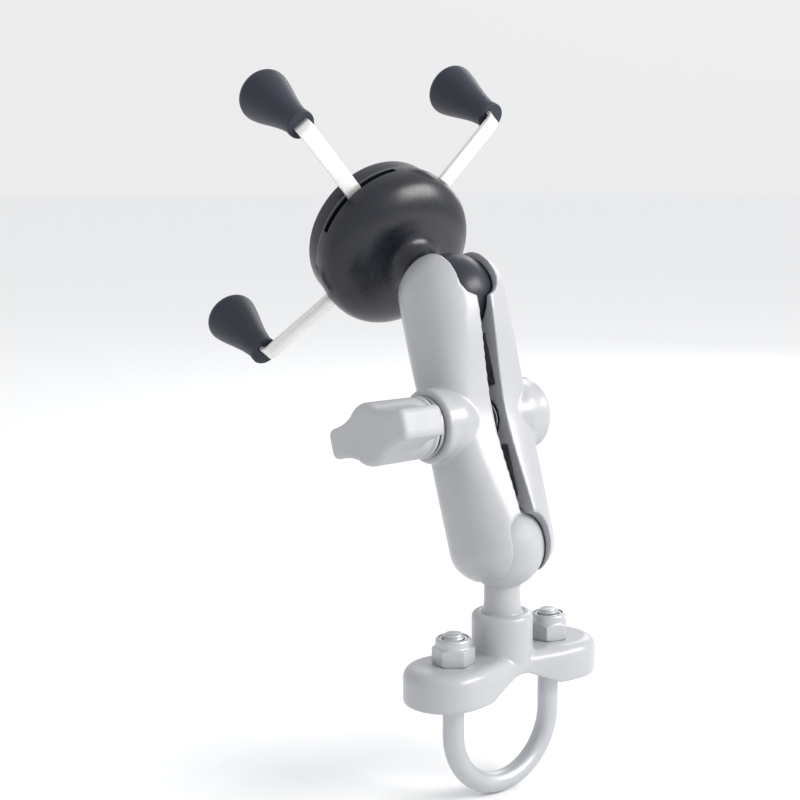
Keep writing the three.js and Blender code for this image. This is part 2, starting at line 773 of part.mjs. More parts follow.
const top = new THREE.Vector3(0, Math.sin(arm.tilt), Math.cos(arm.tilt)).multiplyScalar(arm.length);
const holderYaw = group(mount, "holder_yaw", 0, top.y, base.ballZ + top.z);
holderYaw.rotation.z = hub.yaw;
const holderPitch = group(holderYaw, "holder_pitch");
holderPitch.rotation.x = hub.pitch;
const holderFrame = group(holderPitch, "holder_frame");
holderFrame.rotation.z = hub.roll;
addHolder(holderFrame);

export default mount;
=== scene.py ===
"""Looks of the handlebar phone mount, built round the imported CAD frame.

Shapes are made in millimetres in the frame of the group they belong to (base, arm, clamp bolt or holder).
add_piece brings them to metres and puts them in their place.
"""

import math

import bmesh
import bpy
from mathutils import Euler, Matrix, Vector


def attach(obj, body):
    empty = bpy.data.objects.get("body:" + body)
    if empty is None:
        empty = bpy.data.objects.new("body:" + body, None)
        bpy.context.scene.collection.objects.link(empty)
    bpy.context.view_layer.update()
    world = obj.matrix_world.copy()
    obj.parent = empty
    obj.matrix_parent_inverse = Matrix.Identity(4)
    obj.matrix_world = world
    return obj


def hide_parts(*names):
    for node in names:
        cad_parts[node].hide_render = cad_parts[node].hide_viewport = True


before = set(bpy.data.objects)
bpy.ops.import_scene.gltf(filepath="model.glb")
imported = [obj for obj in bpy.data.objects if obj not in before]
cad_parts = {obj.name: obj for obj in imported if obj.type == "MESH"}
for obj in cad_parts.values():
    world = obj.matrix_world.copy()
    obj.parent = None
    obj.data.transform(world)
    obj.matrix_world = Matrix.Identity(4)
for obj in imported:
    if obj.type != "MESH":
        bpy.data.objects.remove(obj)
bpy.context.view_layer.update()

# ---- driving dimensions, mm and degrees ----
MM = 0.001  # metres
GAP = 0.3
PAST = 60.0  # reach of the cutting tools, well past the part

BALL_RADIUS = 12.7
CORE_RADIUS = 8.4
POST_RADIUS = 5.5

LOBE_X = 22.5
LOBE_RADIUS = 12.5
WAIST = 9.4
PLATE_BOTTOM = 10.9
PLATE_TOP = 22.0
LOWER_EDGE, UPPER_EDGE = 1.2, 3.6
VEE_SLOPE = math.tan(math.radians(24))
VEE_DEPTH = 6.5
CROWN_HALF = 4.0
COLLAR_RADIUS = 9.25
COLLAR_TOP = 34.0
BASE_BALL_Z = 54.0

LEG_X = 19.45
ROD_RADIUS = 3.175
BEND_Z = 0.1
LEG_TOP = 31.0
THREAD_LOW = 9.0
THREAD_PITCH = 1.27
THREAD_DEPTH = 0.34
NUT_FLATS = 11.1
NUT_HEX = 5.2
NUT_TOP = 7.8
NUT_RING_RADIUS = 5.3
NUT_SEAT_RADIUS = 4.35
NUT_TURN = 12

ARM_TILT = 17.4
ARM_LENGTH = 76.7
MID = ARM_LENGTH / 2
HALF_GAP = 2.5
LOW_THICK, MID_THICK, HIGH_THICK = 15.8, 16.5, 16.3
END_WIDE, MID_WIDE = 14.4, 10.6
END_POWER, MID_POWER = 2.3, 3.2
LOW_REACH, HIGH_REACH = 11.6, 14.4
SLOT_HALF = 7.5
LOW_SLOT, HIGH_SLOT = 8.0, 3.2
SLOT_ROUND = 6.0
SIDE_WALL, FACE_WALL = 2.4, 3.6
POCKET_TO_BALL, POCKET_TO_BOLT = 13.5, 9.0
BOSS_RADIUS = 11.2
NEAR_BOSS, FAR_BOSS = 20.0, 20.5
SHANK = 3.1
SHANK_END = 38.0
HEAD_FLATS = 11.1
HEAD_HEIGHT = 4.4
SPRING_RADIUS, SPRING_WIRE = 5.2, 0.65
SPRING_HALF, SPRING_TURNS = 5.1, 4.5
SPRING_ROOM_RADIUS, SPRING_ROOM_DEPTH = 7.0, 6.2

KNOB_FACE = 21.9
KNOB_END = 42.4
KNOB_STEM = 9.2
WING_REACH = 17.7
WING_HALF = 4.5
WING_BULGE = 4.0
BULGE_REACH = KNOB_STEM - 1.6
WING_DEPTH = 15.0
WING_CORNER = 2.2
WING_EDGE = 1.6
INSERT_FLATS = 11.8
INSERT_END = 36.3

HUB_ANGLES = (-3.5, -65.9, 176.5)
HUB_PLANE = 36.2
HUB_RADIUS = 26.0
RIM_RADIUS = 25.3
FRONT_RADIUS = 24.5
RIM_Z = 38.0
WINDOW_START, WINDOW_END = 8, 76
WINDOW_FLOOR = 21.0
FRONT_Z = 44.4
SCREW_RING = 19.5
PIN_RADIUS = 3.0
STUD_RADIUS = 4.0
NECK_RADIUS = 6.2
NECK_Z = 11.7

GRIP_ANGLE = 42.4
GRIP_REACH = 53.0
GRIP_WIDTH = 5.3
GRIP_THICK = 1.5
GRIP_EDGE = 0.32
GRIP_EYE = 6.0
GRIP_FOOT_Z = 40.0
GRIP_KNEE = 27.5
GRIP_LEG_TOP = 56.5
GRIP_BEND = 1.9
TIP_START = 42.2


# ---- frames ----
def turn(degrees, axis):
    return Matrix.Rotation(math.radians(degrees), 4, axis)


def shift(x, y, z):
    return Matrix.Translation((x, y, z))


BASE = Matrix.Identity(4)
ARM = shift(0, 0, BASE_BALL_Z) @ turn(-ARM_TILT, "X")
BOLT = ARM @ shift(0, 0, MID) @ turn(90, "Y")
HOLDER = (
    Matrix.Translation(ARM @ Vector((0, 0, ARM_LENGTH)))
    @ turn(HUB_ANGLES[0], "Z")
    @ turn(HUB_ANGLES[1], "X")
    @ turn(HUB_ANGLES[2], "Z")
)


# ---- curves ----
def arc(centre_r, centre_z, radius, start, end, steps):
    """Points of an arc in the (radius, z) plane, angles in degrees."""
    out = []
    for i in range(steps + 1):
        angle = math.radians(start + (end - start) * i / steps)
        r = centre_r + radius * math.cos(angle)
        out.append((0.0 if abs(r) < 1e-9 else r, centre_z + radius * math.sin(angle)))
    return out


def fillet(corners, steps=5):
    """Profile through (r, z, radius) corners, each rounded by its radius."""
    out = []
    for i, (r, z, radius) in enumerate(corners):
        here = Vector((r, z))
        if radius == 0 or i in (0, len(corners) - 1):
            out.append((r, z))
            continue
        to_prev = (Vector(corners[i - 1][:2]) - here).normalized()
        to_next = (Vector(corners[i + 1][:2]) - here).normalized()
        half = to_prev.angle(to_next) / 2
        run = radius / math.tan(half)
        centre = here + (to_prev + to_next).normalized() * radius / math.sin(half)
        start, end = here + to_prev * run - centre, here + to_next * run - centre
        sweep = start.angle_signed(end)
        for k in range(steps + 1):
            point = start.copy()
            point.rotate(Matrix.Rotation(-sweep * k / steps, 2))
            out.append(tuple(centre + point))
    return out


def spline(points, per_span=6):
    """Smooth curve through the points."""
    pts = [Vector(p) for p in points]
    pts = [2 * pts[0] - pts[1], *pts, 2 * pts[-1] - pts[-2]]
    out = []
    for a, b, c, d in zip(pts, pts[1:], pts[2:], pts[3:]):
        square = 2 * a - 5 * b + 4 * c - d
        cube = 3 * b - a - 3 * c + d
        for k in range(per_span):
            t = k / per_span
            out.append(0.5 * (2 * b + (c - a) * t + square * t * t + cube * t ** 3))
    out.append(pts[-2])
    return out


def inset_ring(outline, inset, z):
    """Ring at height z of a closed outline moved inwards by inset."""
    ring = []
    for i, p in enumerate(outline):
        across = outline[(i + 1) % len(outline)] - outline[i - 1]
        normal = Vector((across.y, -across.x)).normalized()
        ring.append((p.x - normal.x * inset, p.y - normal.y * inset, z))
    return ring


def edge_rings(outline, radius, z, side, steps):
    """Rings of a rounded edge, from the wall to the face at z; side is 1 for a top, -1 for a bottom."""
    rings = []
    for i in range(steps + 1):
        angle = i / steps * math.pi / 2
        rings.append(outline(radius * (1 - math.cos(angle)), z - side * radius * (1 - math.sin(angle))))
    return rings


# ---- shapes: verts and faces ----
def skin(rings):
    """Closed skin through rings of equal counts, capped at both ends."""
    count = len(rings[0])
    verts = [p for ring in rings for p in ring]
    faces = []
    for r in range(len(rings) - 1):
        for i in range(count):
            j = (i + 1) % count
            faces.append((r * count + i, r * count + j, (r + 1) * count + j, (r + 1) * count + i))
    last = (len(rings) - 1) * count
    faces.append(tuple(reversed(range(count))))
    faces.append(tuple(range(last, last + count)))
    return verts, faces


def lathe(profile, segments=96):
    """Profile of (radius, z) pairs turned about Z; a profile off the axis closes on itself."""
    closed = profile[0][0] > 1e-6 and profile[-1][0] > 1e-6
    angles = [2 * math.pi * i / segments for i in range(segments)]
    verts, rows = [], []
    for r, z in profile:
        if r < 1e-6:
            rows.append([len(verts)] * segments)
            verts.append((0, 0, z))
        else:
            rows.append(list(range(len(verts), len(verts) + segments)))
            verts += [(r * math.cos(angle), r * math.sin(angle), z) for angle in angles]
    faces = []
    pairs = list(zip(rows, rows[1:])) + ([(rows[-1], rows[0])] if closed else [])
    for a, b in pairs:
        for i in range(segments):
            j = (i + 1) % segments
            corners = list(dict.fromkeys((a[i], a[j], b[j], b[i])))
            if len(corners) > 2:
                faces.append(tuple(corners))
    return verts, faces


def cylinder(radius, z0, z1):
    return lathe([(0, z0), (radius, z0), (radius, z1), (0, z1)])


def prism(outline, z0, z1):
    return skin([[(x, y, z) for x, y in outline] for z in (z0, z1)])


def hexagon(flats, z0, z1):
    """Hexagonal prism, measured across its flats."""
    r = flats / math.sqrt(3)
    angles = [math.radians(60 * i + 30) for i in range(6)]
    return prism([(r * math.cos(angle), r * math.sin(angle)) for angle in angles], z0, z1)


def block(x0, x1, y0, y1, z0, z1):
    return prism([(x0, y0), (x1, y0), (x1, y1), (x0, y1)], z0, z1)


def sector(inner, outer, start, end, z0, z1, steps=40):
    """Part of a flat ring between two angles, in degrees from the Y axis."""
    angles = [math.radians(start + (end - start) * i / steps) for i in range(steps + 1)]
    outline = [(outer * math.sin(a), outer * math.cos(a)) for a in angles]
    outline += [(inner * math.sin(a), inner * math.cos(a)) for a in reversed(angles)]
    return prism(outline, z0, z1)


def sweep_round(path, directions, radius_at, sides):
    """Closed tube along a path in the XZ plane; radius_at(point, angle) gives its radius."""
    up = Vector((0, 1, 0))
    rings = []
    for p, along in zip(path, directions):
        side = along.cross(up).normalized()
        ring = []
        for k in range(sides):
            angle = 2 * math.pi * k / sides
            r = radius_at(p, angle)
            ring.append(p + side * r * math.cos(angle) + up * r * math.sin(angle))
        rings.append(ring)
    return skin(rings)


def helix(radius, half, turns, wire, sides=12, per_turn=36):
    """Wire coiled about Z from -half to half."""
    steps = round(turns * per_turn)
    rings = []
    for i in range(steps + 1):
        share = i / steps
        angle = share * turns * 2 * math.pi
        out = Vector((math.cos(angle), math.sin(angle), 0))
        centre = out * radius + Vector((0, 0, half * (2 * share - 1)))
        ring = []
        for k in range(sides):
            around = 2 * math.pi * k / sides
            ring.append(centre + out * wire * math.cos(around) + Vector((0, 0, wire * math.sin(around))))
        rings.append(ring)
    return skin(rings)


def moved(shape, matrix):
    verts, faces = shape
    return [matrix @ Vector(v) for v in verts], faces


# ---- objects ----
def make_object(name, verts, faces):
    mesh = bpy.data.meshes.new(name)
    mesh.from_pydata([tuple(v) for v in verts], [], faces)
    mesh.validate()
    obj = bpy.data.objects.new(name, mesh)
    bpy.context.scene.collection.objects.link(obj)
    fix = bmesh.new()
    fix.from_mesh(mesh)
    bmesh.ops.remove_doubles(fix, verts=fix.verts, dist=1e-5)
    bmesh.ops.recalc_face_normals(fix, faces=fix.faces)
    fix.to_mesh(mesh)
    fix.free()
    return obj


def apply_modifiers(obj):
    graph = bpy.context.evaluated_depsgraph_get()
    mesh = bpy.data.meshes.new_from_object(obj.evaluated_get(graph))
    old = obj.data
    obj.modifiers.clear()
    obj.data = mesh
    bpy.data.meshes.remove(old)


def combine(obj, operation, *shapes):
    """Adds shapes to obj, cuts them out of it, or keeps what lies inside them."""
    tools = []
    for shape in shapes:
        tool = make_object("tool", *shape)
        step = obj.modifiers.new("combine", "BOOLEAN")
        step.operation = operation
        step.solver = "MANIFOLD"
        step.object = tool
        tools.append(tool)
    bpy.context.view_layer.update()
    apply_modifiers(obj)
    for tool in tools:
        bpy.data.meshes.remove(tool.data)
    return obj


def soften(obj, voxel, passes):
    """Evens the mesh out and rounds its edges, as casting and moulding do."""
    remesh = obj.modifiers.new("even", "REMESH")
    remesh.mode = "VOXEL"
    remesh.voxel_size = voxel
    smooth = obj.modifiers.new("round", "SMOOTH")
    smooth.factor = 0.5
    smooth.iterations = passes
    apply_modifiers(obj)
    return obj


def add_piece(obj, name, matrix, body, node, slot, sharp=None):
    """Puts obj in its place, gives it its finish, hangs it on its body's empty and hides the CAD node it
    stands for.
    """
    obj.name = name
    obj.data.name = name
    obj.data.transform(Matrix.Scale(MM, 4) @ matrix)
    obj.data.shade_smooth()
    if sharp:
        obj.data.set_sharp_from_angle(angle=math.radians(sharp))
    obj.data.materials.clear()
    obj.data.materials.append(MATERIALS[slot])
    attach(obj, body)
    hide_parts(node)
    return obj


# ---- materials, lengths in metres ----
DRIFT_SCALE = 90
WEAR_SCALE = 420
WEAR_RADIUS = 0.0006
WEAR_FROM, WEAR_TO = 0.92, 0.74  # agreement of the normals where wear starts and where it is full
RELIEF_DEPTH = 0.0002


class Nodes:
    """Short names for the shader nodes that every finish uses."""

    def __init__(self, tree):
        self.nodes, self.links = tree.nodes, tree.links
        self.place = self.nodes.new("ShaderNodeTexCoord").outputs["Object"]

    def noise(self, scale, detail):
        texture = self.nodes.new("ShaderNodeTexNoise")
        texture.inputs["Scale"].default_value = scale
        texture.inputs["Detail"].default_value = detail
        self.links.new(self.place, texture.inputs["Vector"])
        return texture.outputs["Fac"]

    def spread(self, source, low, high, from_low=0.3, from_high=0.7):
        node = self.nodes.new("ShaderNodeMapRange")
        node.inputs["From Min"].default_value = from_low
        node.inputs["From Max"].default_value = from_high
        node.inputs["To Min"].default_value = low
        node.inputs["To Max"].default_value = high
        self.links.new(source, node.inputs["Value"])
        return node.outputs["Result"]

    def mix(self, fac, a, b):
        node = self.nodes.new("ShaderNodeMix")
        node.data_type = "RGBA"
        self.links.new(fac, node.inputs["Factor"])
        for value, socket in ((a, node.inputs["A"]), (b, node.inputs["B"])):
            if isinstance(value, tuple):
                socket.default_value = (*value, 1)
            else:
                self.links.new(value, socket)
        return node.outputs["Result"]

    def wear(self, amount):
        """Share of wear: none on a flat face, up to amount on a sharp edge, broken up by noise."""
        bevel = self.nodes.new("ShaderNodeBevel")
        bevel.samples = 6
        bevel.inputs["Radius"].default_value = WEAR_RADIUS
        match = self.nodes.new("ShaderNodeVectorMath")
        match.operation = "DOT_PRODUCT"
        self.links.new(bevel.outputs["Normal"], match.inputs[0])
        self.links.new(self.nodes.new("ShaderNodeNewGeometry").outputs["Normal"], match.inputs[1])
        broken = self.nodes.new("ShaderNodeMath")
        broken.operation = "MULTIPLY"
        self.links.new(self.spread(match.outputs["Value"], amount, 0, WEAR_TO, WEAR_FROM), broken.inputs[0])
        self.links.new(self.spread(self.noise(WEAR_SCALE, 4), 0.35, 1), broken.inputs[1])
        return broken.outputs[0]

    def relief(self, height, strength):
        bump = self.nodes.new("ShaderNodeBump")
        bump.inputs["Strength"].default_value = strength
        bump.inputs["Distance"].default_value = RELIEF_DEPTH
        self.links.new(height, bump.inputs["Height"])
        return bump.outputs["Normal"]


def build_material(name, color, roughness, metallic=0.0, grain=0.0006, bump=0.1, mottle=0.06,
                   edge=None, edge_mix=0.5, coat=0.0, coat_rough=0.2, sheen=0.0, specular=0.5):
    """Procedural finish: broad colour drift, fine grain in bump and roughness, and lighter worn edges."""
    material = bpy.data.materials.new(name)
    material.use_nodes = True
    kit = Nodes(material.node_tree)
    sockets = kit.nodes["Principled BSDF"].inputs
    sockets["Metallic"].default_value = metallic
    sockets["Coat Weight"].default_value = coat
    sockets["Coat Roughness"].default_value = coat_rough
    sockets["Sheen Weight"].default_value = sheen
    sockets["Specular IOR Level"].default_value = specular

    darker = tuple(c * (1 - mottle) for c in color)
    lighter = tuple(min(1, c * (1 + mottle)) for c in color)
    tint = kit.mix(kit.spread(kit.noise(DRIFT_SCALE, 3), 0, 1), darker, lighter)
    if edge:
        tint = kit.mix(kit.wear(edge_mix), tint, edge)
    kit.links.new(tint, sockets["Base Color"])
    fine = kit.noise(1 / grain, 3)
    kit.links.new(kit.spread(fine, roughness * 0.85, roughness * 1.15), sockets["Roughness"])
    kit.links.new(kit.relief(fine, bump), sockets["Normal"])
    return material


FINISHES = {
    "cast_grey": dict(
        color=(0.375, 0.384, 0.404), roughness=0.42, grain=0.0007, bump=0.12, mottle=0.03,
        edge=(0.72, 0.73, 0.76), edge_mix=0.5, coat=0.5, coat_rough=0.16,
    ),
    "grey_rubber": dict(
        color=(0.380, 0.390, 0.410), roughness=0.55, grain=0.0004, bump=0.15, mottle=0.04, sheen=0.1,
    ),
    "bolt_steel": dict(
        color=(0.44, 0.452, 0.475), roughness=0.36, metallic=0.45, grain=0.0008, bump=0.03, mottle=0.05,
        edge=(0.78, 0.79, 0.81), edge_mix=0.6,
    ),
    "nylon": dict(
        color=(0.78, 0.79, 0.80), roughness=0.5, grain=0.0005, bump=0.08, mottle=0.03,
    ),
    "spring_steel": dict(
        color=(0.42, 0.43, 0.45), roughness=0.3, metallic=1, grain=0.0005, bump=0.06, mottle=0.06,
        edge=(0.7, 0.7, 0.72), edge_mix=0.5,
    ),
    "knob_grey": dict(
        color=(0.405, 0.414, 0.433), roughness=0.46, grain=0.0009, bump=0.16, mottle=0.03,
        edge=(0.80, 0.81, 0.84), edge_mix=0.5,
    ),
    "black_plastic": dict(
        color=(0.007, 0.0085, 0.015), roughness=0.3, grain=0.0008, bump=0.008, mottle=0.12,
        edge=(0.05, 0.054, 0.065), edge_mix=0.35, specular=0.48,
    ),
    "ball_rubber": dict(
        color=(0.014, 0.016, 0.026), roughness=0.34, grain=0.0006, bump=0.03, mottle=0.1,
        edge=(0.06, 0.065, 0.08), edge_mix=0.3, specular=0.4,
    ),
    "tip_rubber": dict(
        color=(0.016, 0.019, 0.033), roughness=0.46, grain=0.0005, bump=0.08, mottle=0.12,
        edge=(0.06, 0.066, 0.085), edge_mix=0.35, specular=0.4,
    ),
    "bright_steel": dict(
        color=(0.76, 0.757, 0.75), roughness=0.34, metallic=0.7, grain=0.0012, bump=0.01, mottle=0.02,
        edge=(0.9, 0.9, 0.9), edge_mix=0.3,
    ),
}
MATERIALS = {name: build_material(name, **finish) for name, finish in FINISHES.items()}


# ---- base ----
def plate_outline(inset, z, count=128):
    """Saddle seen from above: a round lobe at each end and a waist between them."""
    outline = []
    for i in range(count):
        angle = 2 * math.pi * i / count
        x = (LOBE_X + LOBE_RADIUS) * math.cos(angle)
        inner = min(1, abs(x) / LOBE_X)
        side = WAIST + (LOBE_RADIUS - WAIST) * (0.5 - 0.5 * math.cos(inner * math.pi))
        past = max(0, abs(x) - LOBE_X) / LOBE_RADIUS
        y = math.copysign(side * math.sqrt(max(0, 1 - past * past)), math.sin(angle))
        outline.append(Vector((x, y)))
    return inset_ring(outline, inset, z)


def vee_shape():
    """Notch under the saddle: two sloping flats that meet in a rounded crown."""
    below = PLATE_BOTTOM - 1
    apex = PLATE_BOTTOM + VEE_DEPTH
    wide = (apex - below) / VEE_SLOPE
    drop = CROWN_HALF * VEE_SLOPE
    crown = []
    for i in range(9):
        share = 1 - i / 4
        crown.append((CROWN_HALF * share, apex - drop + drop * 0.45 * (1 - share ** 2)))
    section = [(-wide, below), (wide, below), *crown]
    return skin([[(x, y, z) for x, z in section] for y in (-PAST, PAST)])


def base_plate():
    """Saddle with its collar, ball post and the core inside the ball."""
    lower = edge_rings(plate_outline, LOWER_EDGE, PLATE_BOTTOM, -1, 4)[::-1]
    upper = edge_rings(plate_outline, UPPER_EDGE, PLATE_TOP, 1, 8)
    foot_round, collar_round = 2.2, 1.6
    foot = arc(COLLAR_RADIUS + foot_round, PLATE_TOP + foot_round, foot_round, 270, 180, 8)
    seat = POST_RADIUS + 1.3
    neck = math.degrees(math.acos(POST_RADIUS / CORE_RADIUS))
    post = lathe([
        (0, PLATE_TOP - 4),
        (COLLAR_RADIUS + 0.1, PLATE_TOP - 4),
        (COLLAR_RADIUS + 0.1, PLATE_TOP),
        *[(min(r, WAIST), z) for r, z in foot],
        *arc(COLLAR_RADIUS - collar_round, COLLAR_TOP - collar_round, collar_round, 0, 90, 8),
        (seat, COLLAR_TOP),
        (seat, COLLAR_TOP - 0.5),
        (POST_RADIUS + 0.5, COLLAR_TOP - 0.5),
        (POST_RADIUS + 0.2, COLLAR_TOP + 1.2),
        (POST_RADIUS, COLLAR_TOP + 4),
        *arc(0, BASE_BALL_Z, CORE_RADIUS, -neck, 90, 24),
    ])
    obj = make_object("base_plate_cast", *skin(lower + upper))
    combine(obj, "UNION", post)
    hole = cylinder(ROD_RADIUS + 0.35, 0, PAST)
    holes = [moved(hole, shift(side * LEG_X, 0, 0)) for side in (-1, 1)]
    combine(obj, "DIFFERENCE", vee_shape(), *holes)
    return soften(obj, voxel=0.4, passes=4)


def rubber_ball(throat):
    """Ball of rubber over a core, open below for a post of the throat's radius."""
    opening = math.degrees(math.acos(throat / BALL_RADIUS))
    outer = arc(0, 0, BALL_RADIUS, 2.2 - opening, 90, 48)
    socket = CORE_RADIUS + GAP
    inner = arc(0, 0, socket, 90, -math.degrees(math.acos(throat / socket)), 24)
    edge_z = outer[0][1]
    lip = [(throat, edge_z - 0.12), (throat + 0.3, edge_z - 0.25)]
    return make_object("ball", *lathe([*lip, *outer, *inner], 128))


def rod_radius(point, angle):
    """Radius of the U-bolt's rod: plain in the bend, a rolled thread on the legs, chamfered ends."""
    chamfer_depth, chamfer_length, run_out = 0.65, 0.7, 1.5
    chamfer = chamfer_depth * max(0, 1 - (LEG_TOP - point.z) / chamfer_length)
    fade = max(0, min(1, (point.z - THREAD_LOW) / run_out))
    hand = math.copysign(1, point.x)
    phase = (point.z / THREAD_PITCH + hand * angle / (2 * math.pi)) % 1
    groove = abs(phase - 0.5) * 2
    return ROD_RADIUS - chamfer - THREAD_DEPTH * fade * groove


def u_bolt():
    """Bent rod; the rings on its legs are close enough to draw the thread."""
    fine = THREAD_PITCH / 8
    count = round((LEG_TOP - THREAD_LOW) / fine)
    heights = [LEG_TOP - fine * i for i in range(count + 1)]
    bend = [math.pi * i / 64 for i in range(65)]
    path = [
        *[Vector((-LEG_X, 0, z)) for z in heights],
        *[Vector((-LEG_X * math.cos(a), 0, BEND_Z - LEG_X * math.sin(a))) for a in bend],
        *[Vector((LEG_X, 0, z)) for z in reversed(heights)],
    ]
    directions = [
        *[Vector((0, 0, -1)) for _ in heights],
        *[Vector((math.sin(a), 0, -math.cos(a))) for a in bend],
        *[Vector((0, 0, 1)) for _ in heights],
    ]
    return make_object("u_bolt_rod", *sweep_round(path, directions, rod_radius, 40))


def lock_nut():
    """Hexagon with chamfered corners and a round collar on top."""
    corner = NUT_FLATS / math.sqrt(3)
    cone = lathe([
        (0, -0.1),
        (corner - 0.75, -0.1),
        (corner + 0.1, 0.45),
        (corner + 0.1, NUT_HEX - 0.75),
        (corner - 1.1, NUT_HEX + 0.02),
        (0, NUT_HEX + 0.02),
    ])
    crown_round = 0.9
    crown = lathe([
        (0, NUT_HEX - 0.5),
        (NUT_RING_RADIUS, NUT_HEX - 0.5),
        *arc(NUT_RING_RADIUS - crown_round, NUT_TOP - crown_round, crown_round, 0, 90, 6),
        (0, NUT_TOP),
    ])
    bore_radius = ROD_RADIUS + GAP
    bore = lathe([(0, -1), (bore_radius + 0.5, -1), (bore_radius, 0.4), (bore_radius, PAST), (0, PAST)])
    seat = cylinder(NUT_SEAT_RADIUS, NUT_HEX + 0.5, NUT_TOP + 1)
    obj = make_object("nut", *hexagon(NUT_FLATS, 0, NUT_HEX))
    combine(obj, "INTERSECT", cone)
    combine(obj, "UNION", crown)
    combine(obj, "DIFFERENCE", bore, seat)
    return soften(obj, voxel=0.16, passes=2)


def nut_insert():
    """Nylon ring in the nut's collar."""
    low, high = NUT_HEX + 0.8, NUT_TOP - 0.35
    inner, outer = ROD_RADIUS + GAP, NUT_SEAT_RADIUS - 0.2
    ring = fillet([
        (inner, low + 0.1, 0),
        (outer, low, 0.1),
        (outer, high, 0.15),
        (inner, high - 0.15, 0.1),
        (inner, low + 0.1, 0),
    ])
    return make_object("insert", *lathe(ring[:-1]))


def build_base():
    add_piece(base_plate(), "base_plate_cast", BASE, "base", "base_plate", "cast_grey")
    ball = rubber_ball(POST_RADIUS + GAP)
    ball_place = shift(0, 0, BASE_BALL_Z)
    add_piece(ball, "base_ball_rubber", ball_place, "base_ball", "base_ball", "grey_rubber", 40)
    add_piece(u_bolt(), "u_bolt_rod", BASE, "u_bolt", "u_bolt", "bolt_steel", 50)
    for side, label in ((-1, "left"), (1, "right")):
        place = shift(side * LEG_X, 0, PLATE_TOP + 0.05) @ turn(side * NUT_TURN, "Z")
        body = f"nut_{label}"
        add_piece(lock_nut(), f"lock_nut_{label}_plated", place, body, f"lock_nut_{label}", "bolt_steel")
        add_piece(nut_insert(), f"nut_insert_{label}_ring", place, body, f"nut_insert_{label}", "nylon", 40)


# ---- arm ----
def arm_section(z):
    """Half width, half thickness and superellipse power of the arm at height z."""
    high = z > MID
    reach = HIGH_REACH if high else LOW_REACH
    end_thick = HIGH_THICK if high else LOW_THICK
    inward = max(0, min(1, min(z, ARM_LENGTH - z) / MID))
    ease = inward * inward * (3 - 2 * inward)
    past = max(0, -z, z - ARM_LENGTH) / reach
    shrink = math.sqrt(max(0, 1 - past * past))
    wide = (END_WIDE + (MID_WIDE - END_WIDE) * ease) * shrink
    thick = (end_thick + (MID_THICK - end_thick) * ease) * shrink
    return wide, thick, END_POWER + (MID_POWER - END_POWER) * ease


def arm_ring(z, sides=96):
    wide, thick, power = arm_section(z)
    ring = []
    for i in range(sides):
        angle = 2 * math.pi * i / sides
        c, s = math.cos(angle), math.sin(angle)
        x = thick * math.copysign(abs(c) ** (2 / power), c)
        y = wide * math.copysign(abs(s) ** (2 / power), s)
        ring.append((x, y, z))
    return ring


def arm_skin():
    """Both halves as one smooth body with rounded ends."""
    cap = [math.sin((i + 1) / 16.5 * math.pi / 2) for i in range(16)]
    heights = [-LOW_REACH * c for c in reversed(cap)]
    heights += [ARM_LENGTH * i / 48 for i in range(49)]
    heights += [ARM_LENGTH + HIGH_REACH * c for c in cap]
    return skin([arm_ring(z) for z in heights])


def along_bolt(shape):
    return moved(shape, shift(0, 0, MID) @ turn(90, "Y"))


def boss(end):
    """Round boss for the bolt that flares out of the arm."""
    r = BOSS_RADIUS
    flare = spline([(9.4, 3), (10, 7), (10.8, 10.5), (r + 0.15, 13), (r + 0.12, 15), (r, 16.8)], 4)
    return along_bolt(lathe([(0, 3), *flare, (r, end - 1), *arc(r - 1, end - 1, 1, 0, 90, 6), (0, end)]))


def ball_cuts():
    """Socket for each ball and the slot that its post swings in."""
    low = LOW_SLOT - SLOT_ROUND
    high = ARM_LENGTH - HIGH_SLOT + SLOT_ROUND
    socket = lathe(arc(0, 0, BALL_RADIUS + GAP, -90, 90, 32))
    slot_end = moved(cylinder(SLOT_ROUND, -20, 20), turn(90, "X"))
    return [
        socket,
        moved(socket, shift(0, 0, ARM_LENGTH)),
        block(0, SLOT_HALF, -PAST, PAST, -PAST, low),
        block(0, SLOT_HALF, -PAST, PAST, high, ARM_LENGTH + PAST),
        *[moved(slot_end, shift(SLOT_HALF - SLOT_ROUND, 0, z)) for z in (low, high)],
    ]


def inside_cuts():
    """Pockets between the sockets and the bolt, room for the spring and the bolt's hole."""
    x = MID_THICK - FACE_WALL
    y = MID_WIDE - SIDE_WALL
    return [
        block(0, x, -y, y, POCKET_TO_BALL, MID - POCKET_TO_BOLT),
        block(0, x, -y, y, MID + POCKET_TO_BOLT, ARM_LENGTH - POCKET_TO_BALL),
        along_bolt(cylinder(SPRING_ROOM_RADIUS, 0, SPRING_ROOM_DEPTH)),
        along_bolt(cylinder(SHANK + GAP + 0.1, 0, PAST)),
    ]


def arm_half(side):
    """One clamping half; side 1 is the far half with the bolt's head, -1 the near half by the knob."""
    end = FAR_BOSS if side > 0 else NEAR_BOSS
    obj = make_object("half", *arm_skin())
    combine(obj, "UNION", boss(end))
    combine(obj, "INTERSECT", block(HALF_GAP, PAST, -PAST, PAST, -PAST, ARM_LENGTH + PAST))
    cuts = ball_cuts() + inside_cuts()
    if side > 0:
        cuts.append(along_bolt(hexagon(HEAD_FLATS + 2 * GAP, end - HEAD_HEIGHT - GAP, PAST)))
    combine(obj, "DIFFERENCE", *cuts)
    soften(obj, voxel=0.42, passes=5)
    if side < 0:
        obj.data.transform(Matrix.Scale(-1, 4, (1, 0, 0)))
        obj.data.flip_normals()
    return obj


